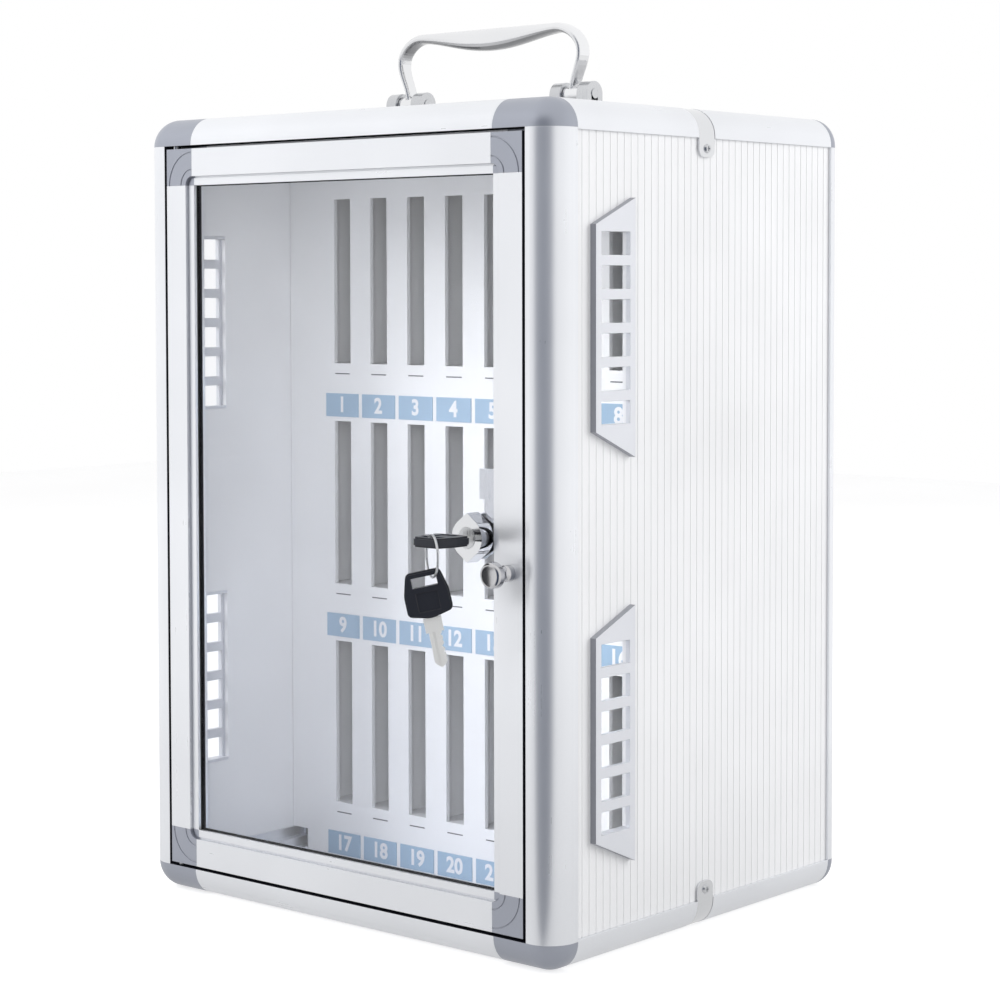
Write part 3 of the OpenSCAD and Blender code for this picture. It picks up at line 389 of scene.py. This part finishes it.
def surface(name, colour, rough, metal=0.0, along=None, shade=0.04, grain=0.02, grain_scale=2600,
            worn=None, edge=0.0, edge_share=0.6, coat=0.0, specular=0.5, patch=0.05, underside_shade=None):
    """One hard finish. Its colour drifts a little, fine grain or streaks drawn along an axis roughen it,
    and its edges wear. Where a share for the underside is given, faces that look down keep only that
    share of the colour, as painted shade on the underside.
    """
    material, g, p = new_material(name)
    if along:
        stretch = tuple(STREAK if axis == along else 1.0 for axis in "xyz")
        lines = g.noise(grain_scale, detail=2.0, stretch=stretch)
    else:
        lines = g.noise(grain_scale, detail=3.0)
    drift = g.patches(g.noise(DRIFT_SCALE, detail=2.0))
    base = g.mix(drift, colour, times(colour, 1 - DRIFT_DEPTH * shade))
    specks = g.spread(g.noise(SPECK_SCALE, detail=2.0), SPECK_LOW, SPECK_HIGH, 0.0, MOST_SPECK)
    base = g.mix(specks, base, times(colour, 1 - shade))
    if worn is not None:
        base = g.mix(wear(g, edge, edge_share), base, worn)
    # Painted shade: faces that look down get a darker colour
    if underside_shade is not None:
        normal_height = g.height(g.node("ShaderNodeTexCoord").outputs["Normal"])
        painted_under_shade = g.spread(normal_height, UNDERSIDE, UPRIGHT, 1.0, 0.0)
        base = g.mix(painted_under_shade, base, times(colour, underside_shade))
    g.feed(p.inputs["Base Color"], base)
    uneven = g.math("MULTIPLY", g.noise(UNEVEN_SCALE, detail=4.0), patch)
    fine = g.math("MULTIPLY", lines, patch)
    g.feed(p.inputs["Roughness"], g.math("ADD", g.math("ADD", uneven, fine), rough - patch))
    p.inputs["Metallic"].default_value = metal
    p.inputs["Specular IOR Level"].default_value = specular
    p.inputs["Coat Weight"].default_value = coat
    p.inputs["Coat Roughness"].default_value = COAT_ROUGHNESS
    normal = g.soft_edge(edge) if edge else None
    g.feed(p.inputs["Normal"], g.bump(lines, grain, GRAIN_HEIGHT, normal))
    return material


def alloy(axis):
    """Brushed aluminium, drawn along one axis."""
    return surface("alloy_" + axis, (0.865, 0.88, 0.915), rough=0.29, metal=0.72, along=axis,
                   grain=0.01, grain_scale=700, worn=(0.92, 0.93, 0.95), edge=0.4 * MM)


def sheet(name, colour, rough):
    """Painted aluminium sheet."""
    return surface(name, colour, rough, grain=0.12, grain_scale=1700, worn=(0.92, 0.92, 0.93), edge=0.3 * MM)


def vent_shade(name, colour):
    """Painted shade for a vent plate's rim: a darker grey where shade falls."""
    return surface(name, colour, rough=0.5, grain=0.12, grain_scale=1900)


# Door glass

# Tints at the glass's foot and head; the deeper tint at the foot is painted shade
GLASS_SHADED_FOOT, GLASS_HEAD = (0.84, 0.855, 0.90), (0.97, 0.975, 0.99)
GLASS_SMEARED, SMEAR_MOST = (0.80, 0.82, 0.86), 0.12
GLASS_SHADOW = (0.975, 0.98, 0.985)
SMEAR_SCALE, SMEAR_HEIGHT = 14.0, 0.1 * MM


def glass_material():
    """Grey tinted glass, with painted shade that deepens it towards its foot. Lamps shine through it."""
    material, g, p = new_material("door_glass")
    foot, head = (corner.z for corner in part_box("door_glass"))
    # Painted shade: the tint deepens towards the glass's foot
    shaded_tint = g.mix(g.spread(g.height(g.place()), foot, head, 0.0, 1.0), GLASS_SHADED_FOOT, GLASS_HEAD)
    smear = g.noise(SMEAR_SCALE, detail=5.0)
    g.feed(p.inputs["Base Color"], g.mix(g.patches(smear, SMEAR_MOST), shaded_tint, GLASS_SMEARED))
    p.inputs["Roughness"].default_value = 0.0
    g.feed(p.inputs["Normal"], g.bump(smear, strength=0.02, distance=SMEAR_HEIGHT))
    p.inputs["Transmission Weight"].default_value = 1.0
    p.inputs["IOR"].default_value = 1.45
    p.inputs["Specular IOR Level"].default_value = 0.8
    clear = g.node("ShaderNodeBsdfTransparent", Color=GLASS_SHADOW)
    rays = g.node("ShaderNodeLightPath")
    g.show(g.mix_shader(rays.outputs["Is Shadow Ray"], p, clear))
    return material


# Finishes of the CAD nodes

FINISHES = {
    "alloy_x": alloy("x"),
    "alloy_y": alloy("y"),
    "alloy_z": alloy("z"),
    "corner": surface("corner_plastic", (0.385, 0.405, 0.465), rough=0.34, metal=0.6, grain=0.22,
                      grain_scale=1500, worn=(0.56, 0.58, 0.63), edge=0.5 * MM, edge_share=0.45),
    "panel": sheet("panel_sheet", (0.88, 0.885, 0.90), rough=0.42),
    "slot": sheet("slot_sheet", (0.92, 0.925, 0.935), rough=0.45),
    "vent": surface("vent_plastic", (0.74, 0.755, 0.80), rough=0.34, metal=0.25, grain=0.12,
                    grain_scale=1900, worn=(0.86, 0.87, 0.9), edge=0.4 * MM),
    # Painted shade for the rims of the raised vent plates
    "vent_side_painted_shade": vent_shade("vent_side_painted_shade", (0.27, 0.277, 0.31)),
    "vent_slope_painted_shade": vent_shade("vent_slope_painted_shade", (0.40, 0.41, 0.45)),
    "label": surface("label", (0.36, 0.51, 0.67), rough=0.5, grain=0.05, shade=0.05),
    "key": surface("key_plastic", (0.020, 0.022, 0.030), rough=0.36, grain=0.12, grain_scale=1800,
                   worn=(0.06, 0.06, 0.068), edge=0.6 * MM, specular=0.3),
    "rubber": surface("gasket", (0.016, 0.016, 0.018), rough=0.6, grain=0.3, grain_scale=1200),
    # Black for the faces on both sides of the door's gap
    "gap_black": surface("door_gap_black", (0.012, 0.013, 0.02), rough=0.7, grain=0.2, grain_scale=1400,
                    specular=0.2),
    "chrome": surface("chrome", (0.80, 0.81, 0.83), rough=0.09, metal=1.0, grain=0.015,
                      worn=(0.93, 0.93, 0.94), edge=0.3 * MM),
    # The grip's underside is darkened by painted shade
    "grip": surface("grip_chrome", (0.89, 0.895, 0.91), rough=0.12, metal=1.0, grain=0.015,
                    worn=(0.90, 0.905, 0.92), edge=1.4 * MM, edge_share=0.3, underside_shade=0.3),
    "nickel": surface("knob_nickel", (0.62, 0.62, 0.635), rough=0.14, metal=1.0, grain=0.02,
                      worn=(0.82, 0.82, 0.83), edge=0.3 * MM, patch=0.06),
    "steel": surface("steel", (0.66, 0.67, 0.69), rough=0.28, metal=1.0, along="z", grain=0.06,
                     worn=(0.8, 0.8, 0.81), edge=0.2 * MM),
    "blade": surface("key_nickel", (0.92, 0.92, 0.90), rough=0.3, metal=0.3, along="z", grain=0.05,
                     worn=(0.95, 0.95, 0.94), edge=0.2 * MM, coat=0.3),
    "glass": glass_material(),
}
WEARERS = {
    "alloy_x": ["front_rail_top", "front_rail_bottom", "rear_rail_top", "rear_rail_bottom",
                "door_rail_top", "door_rail_bottom"],
    "alloy_y": ["side_rails_left", "side_rails_right"],
    "alloy_z": ["front_upright_left", "front_upright_right", "rear_upright_left", "rear_upright_right",
                "door_stile_left", "door_stile_right"],
    "corner": ["front_corners_left", "front_corners_right", "rear_corners", "door_corners_left",
               "door_corners_right", "rail_joiners"],
    "panel": ["side_panel_left", "side_panel_right", "top_panel", "bottom_panel", "back_panel"],
    "slot": ["slot_panel", "shelf_top", "shelf_middle", "shelf_bottom", "dividers"],
    "vent": ["vents_left", "vents_right"],
    "label": ["number_labels"],
    "key": ["key_bow", "spare_key_bow"],
    "rubber": ["glazing_gasket"],
    "chrome": ["lock_body", "joint_clips"],
    "grip": ["handle"],
    "blade": ["key_blade", "spare_key_blade"],
    "nickel": ["door_knob"],
    "steel": ["clip_screws", "bracket_screws", "knob_screw", "cam_screw", "lock_nut", "lock_plug",
              "lock_cam", "key_ring", "pivot_pins", "handle_pins", "handle_bracket_left",
              "handle_bracket_right"],
    "glass": ["door_glass"],
}


def dress(node, finish):
    """Gives every face of a CAD node one finish."""
    mesh = nodes[node].data
    mesh.materials.clear()
    mesh.materials.append(FINISHES[finish])


for finish_name, wearers in WEARERS.items():
    for wearer in wearers:
        dress(wearer, finish_name)


# Faces with a colour of their own: painted shade on the vent plates' rims, and black on both sides of the
# door's gap

# How close the middle of a face lies to the edge that it belongs to
NEAR = 0.2 * MM
VENT_RISE = 4 * MM
# The Z of the normal of a face on a vent plate's sloping ends
SLOPE_LEAST, SLOPE_MOST = 0.3, 0.99
DOOR_GAP = 2 * MM
# How far back the frame's faces beside the door reach
FRONT_DEPTH = 15 * MM
# A face looks along an axis where its normal's part along it is more than this
STRAIGHT = 0.9
DOOR_PARTS = ("door_stile_left", "door_stile_right", "door_rail_top", "door_rail_bottom",
              "door_corners_left", "door_corners_right")
FRAME_PARTS = ("front_upright_left", "front_upright_right", "front_rail_top", "front_rail_bottom",
               "front_corners_left", "front_corners_right")


def paint_faces(node, finish, chosen):
    """Gives another finish to the faces of a CAD node that chosen(middle, normal) picks."""
    mesh = nodes[node].data
    mesh.materials.append(FINISHES[finish])
    last = len(mesh.materials) - 1
    for polygon in mesh.polygons:
        if chosen(polygon.center, polygon.normal):
            polygon.material_index = last


def paint_vent_rims(node):
    """Paints shade on a raised vent plate's rim, darker than its face, most of all along its upright edges.
    """
    low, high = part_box(node)
    face = max(abs(low.x), abs(high.x))

    def on_rim(middle):
        return face - VENT_RISE - NEAR < abs(middle.x) < face - NEAR

    def upright(middle, normal):
        return on_rim(middle) and (middle.y - low.y < NEAR or high.y - middle.y < NEAR)

    def sloping(middle, normal):
        return on_rim(middle) and SLOPE_LEAST < abs(normal.z) < SLOPE_MOST

    paint_faces(node, "vent_side_painted_shade", upright)
    paint_faces(node, "vent_slope_painted_shade", sloping)


def paint_door_gap():
    """Both sides of the gap round the door are black, as the photo's dark line shows."""
    left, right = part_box("door_stile_left")[0].x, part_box("door_stile_right")[1].x
    foot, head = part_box("door_rail_bottom")[0].z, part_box("door_rail_top")[1].z
    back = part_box("front_rail_top")[0].y + FRONT_DEPTH

    def on_outline(middle, normal, out, faces_out):
        """Whether a face lies on the door's outline, moved out, and faces out (1) or in (-1)."""
        edges = (
            (middle.x - left + out, -normal.x),
            (middle.x - right - out, normal.x),
            (middle.z - foot + out, -normal.z),
            (middle.z - head - out, normal.z),
        )
        return any(abs(off) < NEAR and facing * faces_out > STRAIGHT for off, facing in edges)

    def door_edge(middle, normal):
        return on_outline(middle, normal, 0.0, 1)

    def frame_edge(middle, normal):
        return middle.y < back and on_outline(middle, normal, DOOR_GAP, -1)

    for node in DOOR_PARTS:
        paint_faces(node, "gap_black", door_edge)
    for node in FRAME_PARTS:
        paint_faces(node, "gap_black", frame_edge)


paint_vent_rims("vents_left")
paint_vent_rims("vents_right")
paint_door_gap()


# Print on the slotted panel

COLUMNS, ROWS = 8, 3
LABEL_W, LABEL_H = 28.7 * MM, 15 * MM
DIGIT_H = 9.6 * MM
# A digit's height as a share of the text's size, and its added boldness as a share of its height
DIGIT_SHARE, BOLDER = 0.7, 0.045
DIGIT_SMOOTHNESS = 4
LINE_W, LINE_T = 13 * MM, 0.7 * MM
LINE_END_STEPS = 8
LINE_OVER_LABEL = 20.4 * MM
INK = 0.12 * MM


def put_on_front(piece, x, y, z):
    """Stands a flat thing that was drawn in x and y on a front that faces -Y."""
    piece.data.transform(Matrix.Translation((x, y, z)) @ Matrix.Rotation(math.pi / 2, 4, "X"))


def add_piece(name, data):
    """A new object of a mesh or text, in the scene."""
    piece = bpy.data.objects.new(name, data)
    bpy.context.scene.collection.objects.link(piece)
    return piece


def digits(number, height):
    """A number as a thin printed mesh."""
    text = bpy.data.curves.new("digits", "FONT")
    text.body = str(number)
    text.align_x = "CENTER"
    text.align_y = "CENTER"
    text.size = height / DIGIT_SHARE
    text.offset = BOLDER * height
    text.extrude = INK / 2
    text.resolution_u = DIGIT_SMOOTHNESS
    holder = add_piece("digits", text)
    bpy.context.view_layer.update()
    mesh = bpy.data.meshes.new_from_object(holder.evaluated_get(bpy.context.evaluated_depsgraph_get()))
    bpy.data.objects.remove(holder)
    return add_piece("digits", mesh)


def write_line(width, thick):
    """A round-ended printed line."""
    r = thick / 2
    outline = []
    for side in (1, -1):
        for i in range(LINE_END_STEPS + 1):
            a = math.pi * (i / LINE_END_STEPS - side / 2)
            outline.append((side * (width / 2 - r) + r * math.cos(a), r * math.sin(a)))
    n = len(outline)
    points = [(x, y, z) for z in (-INK / 2, INK / 2) for x, y in outline]
    faces = [tuple(range(n - 1, -1, -1)), tuple(range(n, 2 * n))]
    faces += [(i, (i + 1) % n, n + (i + 1) % n, n + i) for i in range(n)]
    mesh = bpy.data.meshes.new("line")
    mesh.from_pydata(points, [], faces)
    return add_piece("line", mesh)


def join(pieces, name, material, body):
    """Joins pieces into one that rides on a body."""
    bpy.ops.object.select_all(action="DESELECT")
    for piece in pieces:
        piece.select_set(True)
    bpy.context.view_layer.objects.active = pieces[0]
    bpy.ops.object.join()
    whole = pieces[0]
    whole.name = whole.data.name = name
    whole.data.materials.clear()
    whole.data.materials.append(material)
    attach(whole, body)


def print_panel():
    """White numbers 1 to 24 on the labels, and a plain line above each label to write a name on."""
    low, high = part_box("number_labels")
    panel_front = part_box("slot_panel")[0].y
    column_pitch = (high.x - low.x - LABEL_W) / (COLUMNS - 1)
    row_pitch = (high.z - low.z - LABEL_H) / (ROWS - 1)
    numbers, lines = [], []
    for row in range(ROWS):
        z = high.z - LABEL_H / 2 - row * row_pitch
        for column in range(COLUMNS):
            x = low.x + LABEL_W / 2 + column * column_pitch
            number = digits(row * COLUMNS + column + 1, DIGIT_H)
            put_on_front(number, x, low.y - INK / 2, z)
            numbers.append(number)
            line = write_line(LINE_W, LINE_T)
            put_on_front(line, x, panel_front - INK / 2, z + LINE_OVER_LABEL)
            lines.append(line)
    white = surface("number_ink", (0.86, 0.87, 0.89), rough=0.5, grain=0.05, grain_scale=2200)
    grey = surface("line_ink", (0.10, 0.10, 0.12), rough=0.6, grain=0.05, grain_scale=2200)
    join(numbers, "label_numbers", white, "case")
    join(lines, "write_in_lines", grey, "case")


print_panel()


# View transform

scene = bpy.context.scene
scene.view_settings.view_transform = "Standard"
